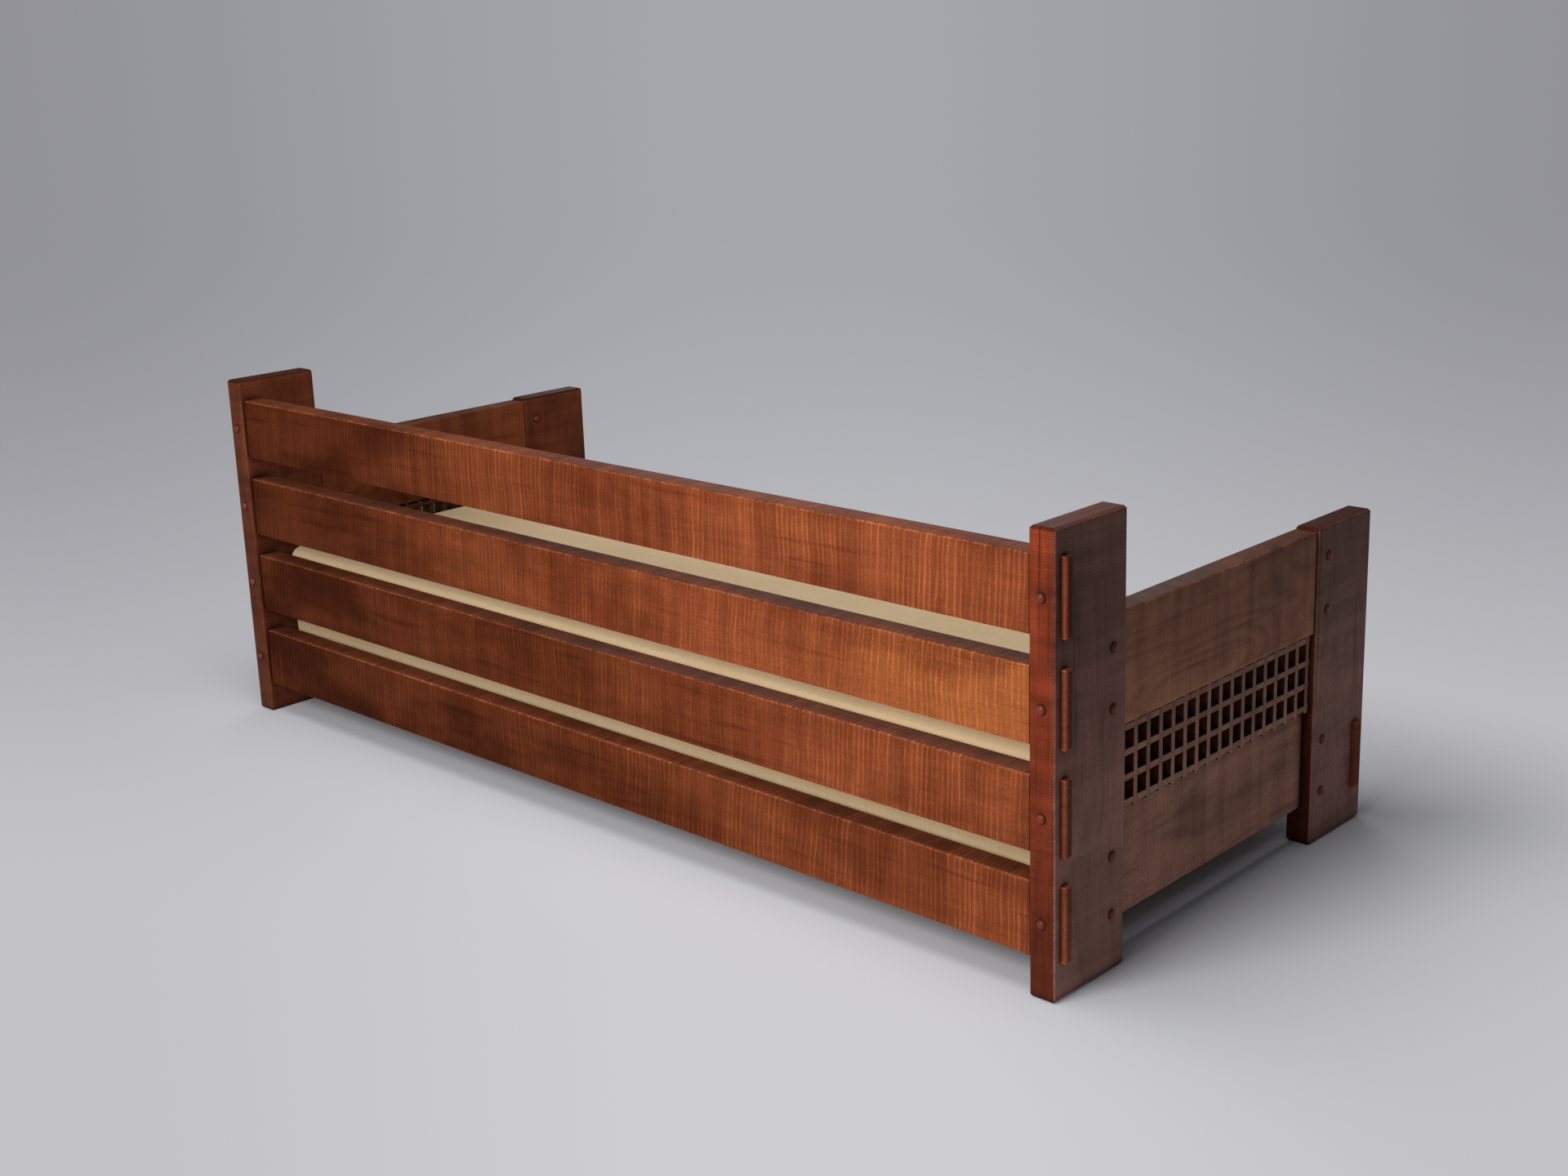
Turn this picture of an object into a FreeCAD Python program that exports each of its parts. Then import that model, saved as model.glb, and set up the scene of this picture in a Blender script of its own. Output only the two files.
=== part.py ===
import FreeCAD, Part
import math
import os
import Sketcher

# A solid hardwood sofa: four board posts, four back rails and a front rail on pegged
# through tenons, lattice arms between the posts, and a loose seat cushion on slats.
# X runs along the seat, the sitter faces -Y, Z is up, and the origin is on the floor
# under the middle. The sitter's right end is at -X. Lengths are in millimetres.

SIZES = [
    ("overall_length", 2100, "over the outer faces of the end posts"),
    ("overall_depth", 914, "over the front and rear post faces"),
    ("rear_post_height", 715, "floor to top of a rear post"),
    ("front_post_height", 562, "floor to top of a front post"),
    ("post_thickness", 45, "post board, along the sofa"),
    ("post_width", 177, "post board, front to back"),
    ("post_edge_radius", 4.5, "easing of the post arrises"),
    ("rail_height", 120, "back and front rails, face height"),
    ("rail_thickness", 45, "back and front rails"),
    ("rail_gap", 44.4, "open height between back rails"),
    ("rail_floor_gap", 61, "floor to the lowest back rail"),
    ("front_rail_floor_gap", 67, "floor to the front rail"),
    ("rail_count", 4, "back rails"),
    ("rail_edge_radius", 4, "easing of the rail arrises"),
    ("back_rail_setback", 6, "post rear face to back rail face"),
    ("front_rail_setback", 12, "post front face to front rail face"),
    ("tenon_thickness", 15, "through tenon of a rail"),
    ("tenon_setback", 10, "rail show face to tenon cheek"),
    ("tenon_proud", 10, "tenon end beyond the post"),
    ("tenon_end_bevel", 2.5, "easing of the tenon end"),
    ("end_easing", 0.9, "end bevel of a board against its arris radius"),
    ("joint_clearance", 0.15, "fit of each cut on the piece in it"),
    ("arm_board_height", 177, "upper and lower arm boards"),
    ("arm_edge_bevel", 2, "easing of the arm board arrises"),
    ("arm_top_drop", 5, "front post top to upper board top"),
    ("arm_top_setback", 4, "post outer face to upper board"),
    ("arm_top_thickness", 40, "upper arm board"),
    ("arm_top_shoulder", 13, "upper board face to its tenon cheek"),
    ("arm_low_floor_gap", 65, "floor to the lower arm board"),
    ("arm_low_setback", 20, "post outer face to lower board"),
    ("arm_low_thickness", 22, "lower arm board"),
    ("arm_low_shoulder", 4, "lower board face to its tenon cheek"),
    ("arm_tenon_length", 60, "blind tenon of an arm board"),
    ("arm_tenon_thickness", 14, "blind tenon of an arm board"),
    ("arm_tenon_inset", 14, "board edge to tenon edge"),
    ("lattice_bar", 10, "face width of a lattice bar"),
    ("lattice_depth", 33, "lattice bar, through the arm"),
    ("lattice_setback", 10, "post outer face to lattice face"),
    ("lattice_uprights", 17, "uprights in one arm"),
    ("lattice_strips", 4, "level strips in one arm"),
    ("lattice_side_gap", 3.5, "post to the first upright"),
    ("lattice_end_run", 4, "upright end beyond the outer strip"),
    ("lattice_tenon", 8, "strip end let into a post"),
    ("peg_sides", 8, "knife-cut sides of a peg"),
    ("peg_diameter", 15, "joint peg, over its corners"),
    ("peg_proud", 5.5, "joint peg head beyond the wood"),
    ("peg_head_bevel", 3, "cut-back rim of a joint peg head"),
    ("rail_peg_depth", 47, "rail peg inside the post"),
    ("arm_peg_inset", 33.5, "post edge to the arm pegs"),
    ("arm_peg_spacing", 93.5, "between the two pegs of one tenon"),
    ("arm_top_peg_rise", 37, "upper board bottom to its lower peg"),
    ("arm_low_peg_rise", 27, "lower board bottom to its lower peg"),
    ("slat_top_height", 150, "floor to the top of the slats"),
    ("slat_count", 13, "slats under the cushion"),
    ("slat_width", 70, "seat slat"),
    ("slat_thickness", 20, "seat slat"),
    ("slat_end_gap", 3, "slat end to rail"),
    ("slat_edge_bevel", 2, "easing of the long slat arrises"),
    ("ledger_width", 30, "ledger that carries the slats"),
    ("ledger_height", 40, "ledger that carries the slats"),
    ("ledger_housing", 8, "depth of a slat housing in a ledger"),
    ("ledger_end_gap", 3, "ledger end to post"),
    ("ledger_peg_count", 5, "pegs in one ledger"),
    ("ledger_peg_diameter", 10, "ledger peg, over its corners"),
    ("ledger_peg_bite", 28, "ledger peg inside the rail"),
    ("ledger_peg_level", 14, "ledger bottom to its pegs"),
    ("cushion_height", 206, "cushion at its edges"),
    ("cushion_crown", 9, "rise of the cushion in its middle"),
    ("cushion_draw_in", 5, "cushion sides drawn in between the corners"),
    ("cushion_edge_radius", 28, "rounding of the cushion"),
    ("cushion_side_gap", 5, "cushion to rails"),
    ("cushion_end_gap", 10, "cushion to posts"),
    ("cushion_rest_gap", 0.3, "cushion to slats"),
    ("cover_thickness", 2, "cloth cover with its lining"),
    ("cover_clearance", 0.3, "cover to filling"),
]

doc = FreeCAD.newDocument("sofa")
sheet = doc.addObject("Spreadsheet::Sheet", "Sizes")
for row, (alias, value, note) in enumerate(SIZES, start=1):
    sheet.set("A%d" % row, note)
    sheet.set("B%d" % row, str(value))
    sheet.setAlias("B%d" % row, alias)
doc.recompute()


def size(alias):
    return float(sheet.get(alias))


# Lengths that follow from the sizes, as expressions on the sheet.
HALF_LENGTH = "Sizes.overall_length / 2"
HALF_DEPTH = "Sizes.overall_depth / 2"
INNER_LENGTH = "(Sizes.overall_length - 2 * Sizes.post_thickness)"
ARM_SPAN = "(Sizes.overall_depth - 2 * Sizes.post_width)"
RAIL_PITCH = "(Sizes.rail_height + Sizes.rail_gap)"
TENON_REACH = "(Sizes.post_thickness + Sizes.tenon_proud)"
ARM_TOP_BASE = "(Sizes.front_post_height - Sizes.arm_top_drop - Sizes.arm_board_height)"
ARM_LOW_BASE = "Sizes.arm_low_floor_gap"
BACK_PEG_LEVEL = "(Sizes.rail_floor_gap + Sizes.rail_height / 2)"
FRONT_PEG_LEVEL = "(Sizes.front_rail_floor_gap + Sizes.rail_height / 2)"
POST_STEP = "(Sizes.overall_length - Sizes.post_thickness)"
LATTICE_BASE = "(Sizes.arm_low_floor_gap + Sizes.arm_board_height)"
LATTICE_HEIGHT = "(%s - %s)" % (ARM_TOP_BASE, LATTICE_BASE)
LATTICE_RUN = "(%s - 2 * Sizes.lattice_side_gap - Sizes.lattice_bar)" % ARM_SPAN
UPRIGHT_PITCH = "(%s / (Sizes.lattice_uprights - 1))" % LATTICE_RUN
STRIP_RUN = "(%s - 2 * Sizes.lattice_end_run - Sizes.lattice_bar)" % LATTICE_HEIGHT
STRIP_PITCH = "(%s / (Sizes.lattice_strips - 1))" % STRIP_RUN
BACK_RAIL_Y = "(%s - Sizes.back_rail_setback - Sizes.rail_thickness)" % HALF_DEPTH
FRONT_RAIL_Y = "(-%s + Sizes.front_rail_setback + Sizes.rail_thickness)" % HALF_DEPTH
SEAT_DEPTH = "(%s - %s)" % (BACK_RAIL_Y, FRONT_RAIL_Y)
SLAT_PITCH = "(%s / Sizes.slat_count)" % INNER_LENGTH
LEDGER_TOP = "(Sizes.slat_top_height - Sizes.slat_thickness + Sizes.ledger_housing)"
LEDGER_LENGTH = "(%s - 2 * Sizes.ledger_end_gap)" % INNER_LENGTH
LEDGER_PEG_PITCH = "(%s / Sizes.ledger_peg_count)" % LEDGER_LENGTH
PEG_RADIUS = "Sizes.peg_diameter / 2"
LEDGER_PEG_RADIUS = "Sizes.ledger_peg_diameter / 2"
RAIL_PEG_LENGTH = "(Sizes.rail_peg_depth + Sizes.peg_proud)"
ARM_PEG_LENGTH = "(Sizes.post_thickness + 2 * Sizes.peg_proud)"
LEDGER_PEG_LENGTH = "(Sizes.ledger_peg_bite + Sizes.ledger_width)"


# Sketch and feature helpers.
def origin_feature(body, role):
    for feature in body.Origin.OriginFeatures:
        if feature.Role == role:
            return feature
    raise ValueError(role)


def new_body(label):
    body = doc.addObject("PartDesign::Body", label)
    body.Label = label
    body.AllowCompound = True
    return body


def place(thing, x=None, y=None, z=None):
    for axis, expression in (("x", x), ("y", y), ("z", z)):
        if expression:
            thing.setExpression("Placement.Base." + axis, expression)


def new_sketch(body, role, level=None):
    sketch = body.newObject("Sketcher::SketchObject", body.Name + "_profile")
    sketch.AttachmentSupport = [(origin_feature(body, role), "")]
    sketch.MapMode = "FlatFace"
    if level:
        sketch.setExpression("AttachmentOffset.Base.z", level)
    return sketch


def bind(sketch, kind, parts, expression):
    index = sketch.addConstraint(Sketcher.Constraint(kind, *parts, 1.0))
    sketch.setExpression("Constraints[%d]" % index, expression)


# One corner of a profile is held at a distance from the origin, or on an axis for None.
def hold(sketch, geometry, point, across, up):
    if across:
        bind(sketch, "DistanceX", (-1, 1, geometry, point), across)
    else:
        sketch.addConstraint(Sketcher.Constraint("PointOnObject", geometry, point, -2))
    if up:
        bind(sketch, "DistanceY", (-1, 1, geometry, point), up)
    else:
        sketch.addConstraint(Sketcher.Constraint("PointOnObject", geometry, point, -1))


def rectangle(body, role, across, up, width, height, level=None):
    sketch = new_sketch(body, role, level)
    corners = [(1, 1), (9, 1), (9, 9), (1, 9)]
    for index in range(4):
        start = FreeCAD.Vector(*corners[index], 0)
        end = FreeCAD.Vector(*corners[(index + 1) % 4], 0)
        sketch.addGeometry(Part.LineSegment(start, end), False)
    for index in range(4):
        sketch.addConstraint(Sketcher.Constraint("Coincident", index, 2, (index + 1) % 4, 1))
        direction = "Horizontal" if index % 2 == 0 else "Vertical"
        sketch.addConstraint(Sketcher.Constraint(direction, index))
    bind(sketch, "DistanceX", (0, 1, 0, 2), width)
    bind(sketch, "DistanceY", (1, 1, 1, 2), height)
    hold(sketch, 0, 1, across, up)
    return sketch


# Sketches on XY and YZ face along +Z and +X, sketches on XZ face along -Y.
def pad(body, sketch, length, reverse=False):
    feature = body.newObject("PartDesign::Pad", body.Name + "_pad")
    feature.Profile = sketch
    feature.setExpression("Length", length)
    feature.Reversed = reverse
    body.Tip = feature
    doc.recompute()
    return feature


def cut(body, sketch, depth=None, reverse=False):
    before = body.Tip.Shape.Volume
    feature = body.newObject("PartDesign::Pocket", body.Name + "_cut")
    feature.Profile = sketch
    feature.Reversed = reverse
    if depth:
        feature.setExpression("Length", depth)
    else:
        feature.Type = "ThroughAll"
    body.Tip = feature
    doc.recompute()
    if not feature.Shape.Volume < before - 1:
        raise ValueError("a cut misses " + body.Label)
    return feature


# An easing works on the edges of the body so far that a test on their boxes picks.
def ease(body, kind, setting, amount, chosen):
    base = body.Tip
    feature = body.newObject("PartDesign::" + kind, body.Name + "_easing")
    edges = enumerate(base.Shape.Edges, start=1)
    feature.Base = (base, ["Edge%d" % index for index, edge in edges if chosen(edge.BoundBox)])
    feature.setExpression(setting, amount)
    body.Tip = feature
    doc.recompute()


def bevel_ends(body, axis, amount):
    box = body.Tip.Shape.BoundBox
    near = getattr(box, axis + "Min") + 0.01
    far = getattr(box, axis + "Max") - 0.01
    ease(body, "Chamfer", "Size", amount,
         lambda edge: getattr(edge, axis + "Max") < near or getattr(edge, axis + "Min") > far)


# A board's long arrises are rounded and its ends are bevelled to suit.
def soften(body, axis, radius):
    length = getattr(body.Tip.Shape.BoundBox, axis + "Length") - 0.01
    ease(body, "Fillet", "Radius", radius, lambda edge: getattr(edge, axis + "Length") > length)
    bevel_ends(body, axis, "Sizes.end_easing * " + radius)


# A peg, or a hole for one, is a prism square to a plane from a level above it.
def prism(body, kind, role, across, up, level, radius, length):
    before = body.Tip.Shape.Volume if body.Tip else 0
    feature = body.newObject("PartDesign::%sPrism" % kind, body.Name + "_prism")
    feature.AttachmentSupport = [(origin_feature(body, role), "")]
    feature.MapMode = "FlatFace"
    for axis, expression in (("x", across), ("y", up), ("z", level)):
        if expression:
            feature.setExpression("AttachmentOffset.Base." + axis, expression)
    feature.setExpression("Polygon", "Sizes.peg_sides")
    feature.setExpression("Circumradius", radius)
    feature.setExpression("Height", length)
    body.Tip = feature
    doc.recompute()
    if abs(feature.Shape.Volume - before) < 1:
        raise ValueError("a prism misses " + body.Label)
    return feature


def bore(body, role, across, up, level, radius, length):
    return prism(body, "Subtractive", role, across, up, level, radius + " + Sizes.joint_clearance", length)


# A row of one feature, or of the whole body for None.
def repeat(body, feature, role, pitch, count):
    pattern = body.newObject("PartDesign::LinearPattern", body.Name + "_row")
    if feature is None:
        pattern.TransformMode = "Whole shape"
    else:
        pattern.Originals = [feature]
    pattern.Direction = (origin_feature(body, role), [""])
    pattern.Mode = "Spacing"
    pattern.setExpression("Offset", pitch)
    pattern.setExpression("Occurrences", count)
    body.Tip = pattern
    doc.recompute()
    return pattern


def grown(expression):
    return "%s + 2 * Sizes.joint_clearance" % expression


def eased(expression):
    return "%s - Sizes.joint_clearance" % expression


def mirrored(source, label):
    twin = doc.addObject("Part::Mirroring", label)
    twin.Label = label
    twin.Source = source
    twin.Normal = FreeCAD.Vector(1, 0, 0)
    return twin


nodes = []


def keep(*things):
    nodes.extend(things)


# Posts. Their local origin is the outer front lower corner.
def post(label, height, y, arm_level, arm_reverse, peg_y, mortise_y, rails, front):
    body = new_body(label)
    place(body, "-" + HALF_LENGTH, y)
    pad(body, rectangle(body, "XY_Plane", None, None, "Sizes.post_thickness", "Sizes.post_width"), height)
    soften(body, "Z", "Sizes.post_edge_radius")
    rail_base = "Sizes.front_rail_floor_gap" if front else "Sizes.rail_floor_gap"
    slot = rectangle(body, "YZ_Plane", eased(mortise_y), eased(rail_base),
                     grown("Sizes.tenon_thickness"), grown("Sizes.rail_height"))
    mortise = cut(body, slot, None, True)
    if rails:
        repeat(body, mortise, "Z_Axis", RAIL_PITCH, rails)
    boards = [("top", ARM_TOP_BASE), ("low", ARM_LOW_BASE)]
    for name, base in boards:
        cheek = "Sizes.arm_%s_setback + Sizes.arm_%s_shoulder" % (name, name)
        slot = rectangle(body, "XZ_Plane", eased(cheek), eased(base + " + Sizes.arm_tenon_inset"),
                         grown("Sizes.arm_tenon_thickness"),
                         grown("Sizes.arm_board_height - 2 * Sizes.arm_tenon_inset"), arm_level)
        cut(body, slot, "Sizes.arm_tenon_length + Sizes.joint_clearance", arm_reverse)
    slot = rectangle(body, "XZ_Plane", eased("Sizes.lattice_setback"),
                     eased(LATTICE_BASE + " + Sizes.lattice_end_run"), grown("Sizes.lattice_depth"),
                     grown("Sizes.lattice_bar"), arm_level)
    mortise = cut(body, slot, "Sizes.lattice_tenon + Sizes.joint_clearance", arm_reverse)
    repeat(body, mortise, "Z_Axis", STRIP_PITCH, "Sizes.lattice_strips")
    for name, base in boards:
        level = "%s + Sizes.arm_%s_peg_rise" % (base, name)
        hole = bore(body, "YZ_Plane", peg_y, level, "-Sizes.peg_proud", PEG_RADIUS, ARM_PEG_LENGTH)
        repeat(body, hole, "Z_Axis", "Sizes.arm_peg_spacing", "2")
    depth = "(Sizes.rail_peg_depth + Sizes.joint_clearance)"
    face = "-" + depth if front else "-Sizes.post_width"
    level = FRONT_PEG_LEVEL if front else BACK_PEG_LEVEL
    hole = bore(body, "XZ_Plane", "Sizes.post_thickness / 2", level, face, PEG_RADIUS, depth)
    if rails:
        repeat(body, hole, "Z_Axis", RAIL_PITCH, rails)
    return body


rear_post = post("rear_post_right", "Sizes.rear_post_height", HALF_DEPTH + " - Sizes.post_width",
                 None, False, "Sizes.arm_peg_inset",
                 "Sizes.post_width - Sizes.back_rail_setback - Sizes.tenon_setback - Sizes.tenon_thickness",
                 "Sizes.rail_count", False)
front_post = post("front_post_right", "Sizes.front_post_height", "-" + HALF_DEPTH,
                  "-Sizes.post_width", True, "Sizes.post_width - Sizes.arm_peg_inset",
                  "Sizes.front_rail_setback + Sizes.tenon_setback", None, True)
keep(rear_post, mirrored(rear_post, "rear_post_left"))
keep(front_post, mirrored(front_post, "front_post_left"))


# Rails. Their local origin is the end of one tenon, with the show face at local y = 0.
# A full-height tenon runs on from the rail, and one peg hole crosses each end of it.
def rail(label, base, ledger):
    body = new_body(label)
    pad(body, rectangle(body, "YZ_Plane", None, None, "Sizes.rail_thickness", "Sizes.rail_height",
                        TENON_REACH), INNER_LENGTH)
    soften(body, "X", "Sizes.rail_edge_radius")
    tongue = rectangle(body, "YZ_Plane", "Sizes.tenon_setback", None, "Sizes.tenon_thickness",
                       "Sizes.rail_height")
    pad(body, tongue, "%s + 2 * %s" % (INNER_LENGTH, TENON_REACH))
    bevel_ends(body, "X", "Sizes.tenon_end_bevel")
    hole = bore(body, "XZ_Plane", "Sizes.tenon_proud + Sizes.post_thickness / 2", "Sizes.rail_height / 2",
                "-Sizes.rail_thickness", PEG_RADIUS, "Sizes.rail_thickness")
    repeat(body, hole, "X_Axis", POST_STEP, "2")
    if ledger:
        first = "%s + Sizes.ledger_end_gap + %s / 2" % (TENON_REACH, LEDGER_PEG_PITCH)
        level = "%s - Sizes.ledger_height + Sizes.ledger_peg_level - %s" % (LEDGER_TOP, base)
        hole = bore(body, "XZ_Plane", first, level, "-Sizes.rail_thickness", LEDGER_PEG_RADIUS,
                    "Sizes.ledger_peg_bite + Sizes.joint_clearance")
        repeat(body, hole, "X_Axis", LEDGER_PEG_PITCH, "Sizes.ledger_peg_count")
    place(body, "-%s - Sizes.tenon_proud" % HALF_LENGTH)
    return body


HALF_TURN = FreeCAD.Rotation(FreeCAD.Vector(0, 0, 1), 180)
RAIL_END = HALF_LENGTH + " + Sizes.tenon_proud"
for index in range(int(size("rail_count"))):
    back_rail = rail("back_rail_%d" % (index + 1), "Sizes.rail_floor_gap", index == 0)
    back_rail.Placement = FreeCAD.Placement(FreeCAD.Vector(), HALF_TURN)
    place(back_rail, RAIL_END, HALF_DEPTH + " - Sizes.back_rail_setback",
          "Sizes.rail_floor_gap + %d * %s" % (index, RAIL_PITCH))
    keep(back_rail)
front_rail = rail("front_rail", "Sizes.front_rail_floor_gap", True)
place(front_rail, None, "-%s + Sizes.front_rail_setback" % HALF_DEPTH, "Sizes.front_rail_floor_gap")
keep(front_rail)


# Arm boards. Their local origin is the end of the front tenon at the board's outer face.
def arm_board(name, base):
    body = new_body("arm_%s_board_right" % name)
    thickness = "Sizes.arm_%s_thickness" % name
    pad(body, rectangle(body, "XZ_Plane", None, None, thickness, "Sizes.arm_board_height",
                        "-Sizes.arm_tenon_length"), ARM_SPAN, True)
    ease(body, "Chamfer", "Size", "Sizes.arm_edge_bevel", lambda edge: True)
    tongue = rectangle(body, "XZ_Plane", "Sizes.arm_%s_shoulder" % name, "Sizes.arm_tenon_inset",
                       "Sizes.arm_tenon_thickness", "Sizes.arm_board_height - 2 * Sizes.arm_tenon_inset")
    pad(body, tongue, "%s + 2 * Sizes.arm_tenon_length" % ARM_SPAN, True)
    for end in ("Sizes.arm_tenon_length - Sizes.arm_peg_inset",
                "%s + Sizes.arm_tenon_length + Sizes.arm_peg_inset" % ARM_SPAN):
        hole = bore(body, "YZ_Plane", end, "Sizes.arm_%s_peg_rise" % name, None, PEG_RADIUS, thickness)
        repeat(body, hole, "Z_Axis", "Sizes.arm_peg_spacing", "2")
    place(body, "-%s + Sizes.arm_%s_setback" % (HALF_LENGTH, name),
          "-%s / 2 - Sizes.arm_tenon_length" % ARM_SPAN, base)
    return body


for name, base in (("top", ARM_TOP_BASE), ("low", ARM_LOW_BASE)):
    board = arm_board(name, base)
    keep(board, mirrored(board, "arm_%s_board_left" % name))

# Lattice of an arm. Uprights run whole on the outer face, and the level strips pass
# behind them in half laps and end in small mortises in the posts.
HALF_LAP = "Sizes.lattice_depth / 2 + Sizes.joint_clearance"
uprights = new_body("lattice_uprights_right")
pad(uprights, rectangle(uprights, "XY_Plane", None, None, "Sizes.lattice_depth", "Sizes.lattice_bar"),
    LATTICE_HEIGHT)
lap = cut(uprights, rectangle(uprights, "YZ_Plane", None, eased("Sizes.lattice_end_run"), "Sizes.lattice_bar",
                              grown("Sizes.lattice_bar"), "Sizes.lattice_depth"), HALF_LAP)
repeat(uprights, lap, "Z_Axis", STRIP_PITCH, "Sizes.lattice_strips")
repeat(uprights, None, "Y_Axis", UPRIGHT_PITCH, "Sizes.lattice_uprights")
place(uprights, "-%s + Sizes.lattice_setback" % HALF_LENGTH,
      "-%s / 2 + Sizes.lattice_side_gap" % ARM_SPAN, LATTICE_BASE)

strips = new_body("lattice_strips_right")
pad(strips, rectangle(strips, "XZ_Plane", None, None, "Sizes.lattice_depth", "Sizes.lattice_bar"),
    "%s + 2 * Sizes.lattice_tenon" % ARM_SPAN, True)
lap = cut(strips, rectangle(strips, "YZ_Plane", eased("Sizes.lattice_tenon + Sizes.lattice_side_gap"), None,
                            grown("Sizes.lattice_bar"), "Sizes.lattice_bar"), HALF_LAP, True)
repeat(strips, lap, "Y_Axis", UPRIGHT_PITCH, "Sizes.lattice_uprights")
repeat(strips, None, "Z_Axis", STRIP_PITCH, "Sizes.lattice_strips")
place(strips, "-%s + Sizes.lattice_setback" % HALF_LENGTH, "-%s / 2 - Sizes.lattice_tenon" % ARM_SPAN,
      LATTICE_BASE + " + Sizes.lattice_end_run")
keep(uprights, mirrored(uprights, "lattice_uprights_left"))
keep(strips, mirrored(strips, "lattice_strips_left"))


# Joint pegs, cut to eight sides with a knife and driven into their holes. Their heads
# stand proud with the rim cut back: at the show end of a rail peg, at both ends of an
# arm peg.
def peg(label, role, level, length, shown):
    body = new_body(label)
    prism(body, "Additive", role, None, None, level, PEG_RADIUS, length)
    axis = "X" if role == "YZ_Plane" else "Y"
    box = body.Tip.Shape.BoundBox
    near = getattr(box, axis + "Min") + 0.01
    far = getattr(box, axis + "Max") - 0.01
    ease(body, "Chamfer", "Size", "Sizes.peg_head_bevel",
         lambda edge: ("near" in shown and getattr(edge, axis + "Max") < near)
         or ("far" in shown and getattr(edge, axis + "Min") > far))
    return body


back_pegs = peg("back_rail_pegs", "XZ_Plane", "-Sizes.peg_proud", RAIL_PEG_LENGTH, ("far",))
repeat(back_pegs, None, "Z_Axis", RAIL_PITCH, "Sizes.rail_count")
repeat(back_pegs, None, "X_Axis", POST_STEP, "2")
place(back_pegs, "-%s / 2" % POST_STEP, HALF_DEPTH, BACK_PEG_LEVEL)
front_pegs = peg("front_rail_pegs", "XZ_Plane", "-Sizes.rail_peg_depth", RAIL_PEG_LENGTH, ("near",))
repeat(front_pegs, None, "X_Axis", POST_STEP, "2")
place(front_pegs, "-%s / 2" % POST_STEP, "-" + HALF_DEPTH, FRONT_PEG_LEVEL)
keep(back_pegs, front_pegs)

for name, base in (("top", ARM_TOP_BASE), ("low", ARM_LOW_BASE)):
    pegs = peg("arm_%s_pegs_right" % name, "YZ_Plane", "-Sizes.peg_proud", ARM_PEG_LENGTH, ("near", "far"))
    repeat(pegs, None, "Z_Axis", "Sizes.arm_peg_spacing", "2")
    repeat(pegs, None, "Y_Axis", ARM_SPAN + " + 2 * Sizes.arm_peg_inset", "2")
    place(pegs, "-" + HALF_LENGTH, "-%s / 2 - Sizes.arm_peg_inset" % ARM_SPAN,
          "%s + Sizes.arm_%s_peg_rise" % (base, name))
    keep(pegs, mirrored(pegs, "arm_%s_pegs_left" % name))


# Seat ledgers, pegged to the inner faces of the lowest rails, with a housing per slat.
# Their local y = 0 is the face on the rail.
def ledger(label):
    body = new_body(label)
    pad(body, rectangle(body, "YZ_Plane", None, None, "Sizes.ledger_width", "Sizes.ledger_height"),
        LEDGER_LENGTH)
    first = "(%s - Sizes.slat_width) / 2 - Sizes.ledger_end_gap" % SLAT_PITCH
    slot = rectangle(body, "XZ_Plane", eased(first), "Sizes.ledger_height - Sizes.ledger_housing",
                     grown("Sizes.slat_width"), "Sizes.ledger_height")
    housing = cut(body, slot)
    repeat(body, housing, "X_Axis", SLAT_PITCH, "Sizes.slat_count")
    hole = bore(body, "XZ_Plane", LEDGER_PEG_PITCH + " / 2", "Sizes.ledger_peg_level", "-Sizes.ledger_width",
                LEDGER_PEG_RADIUS, "Sizes.ledger_width")
    repeat(body, hole, "X_Axis", LEDGER_PEG_PITCH, "Sizes.ledger_peg_count")
    return body


# Ledger pegs end flush with the ledger. Local y = 0 is the face of the rail.
def ledger_pegs(label):
    body = new_body(label)
    prism(body, "Additive", "XZ_Plane", LEDGER_PEG_PITCH + " / 2", "Sizes.ledger_peg_level",
          "-Sizes.ledger_width", LEDGER_PEG_RADIUS, LEDGER_PEG_LENGTH)
    repeat(body, None, "X_Axis", LEDGER_PEG_PITCH, "Sizes.ledger_peg_count")
    return body


for side in ("front", "rear"):
    for piece in (ledger("seat_ledger_" + side), ledger_pegs("ledger_pegs_" + side)):
        base = LEDGER_TOP + " - Sizes.ledger_height"
        if side == "front":
            place(piece, "-%s / 2" % LEDGER_LENGTH, FRONT_RAIL_Y, base)
        else:
            piece.Placement = FreeCAD.Placement(FreeCAD.Vector(), HALF_TURN)
            place(piece, "%s / 2" % LEDGER_LENGTH, BACK_RAIL_Y, base)
        keep(piece)

# Slats, laid front to back in the ledger housings.
for index in range(int(size("slat_count"))):
    slat = new_body("seat_slat_%02d" % (index + 1))
    pad(slat, rectangle(slat, "XY_Plane", None, None, "Sizes.slat_width",
                        SEAT_DEPTH + " - 2 * Sizes.slat_end_gap"), "Sizes.slat_thickness")
    ease(slat, "Chamfer", "Size", "Sizes.slat_edge_bevel",
         lambda edge: edge.YLength > edge.XLength + edge.ZLength)
    place(slat, "-%s / 2 + %s * %s - Sizes.slat_width / 2" % (INNER_LENGTH, index + 0.5, SLAT_PITCH),
          FRONT_RAIL_Y + " + Sizes.slat_end_gap", "Sizes.slat_top_height - Sizes.slat_thickness")
    keep(slat)


# Seat cushion: a ruled loft through sections along X. Each section has a crowned top,
# rounded upper corners and bevelled lower ones. The sides draw in towards the middle of
# the length, and the ends roll over through a quarter turn.
SECTION_TURNS = (90, 45, 0)
MIDDLE_SHARES = (0.5, -0.5)


def arc(first, middle, last):
    return Part.Arc(first, middle, last).toShape()


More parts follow.
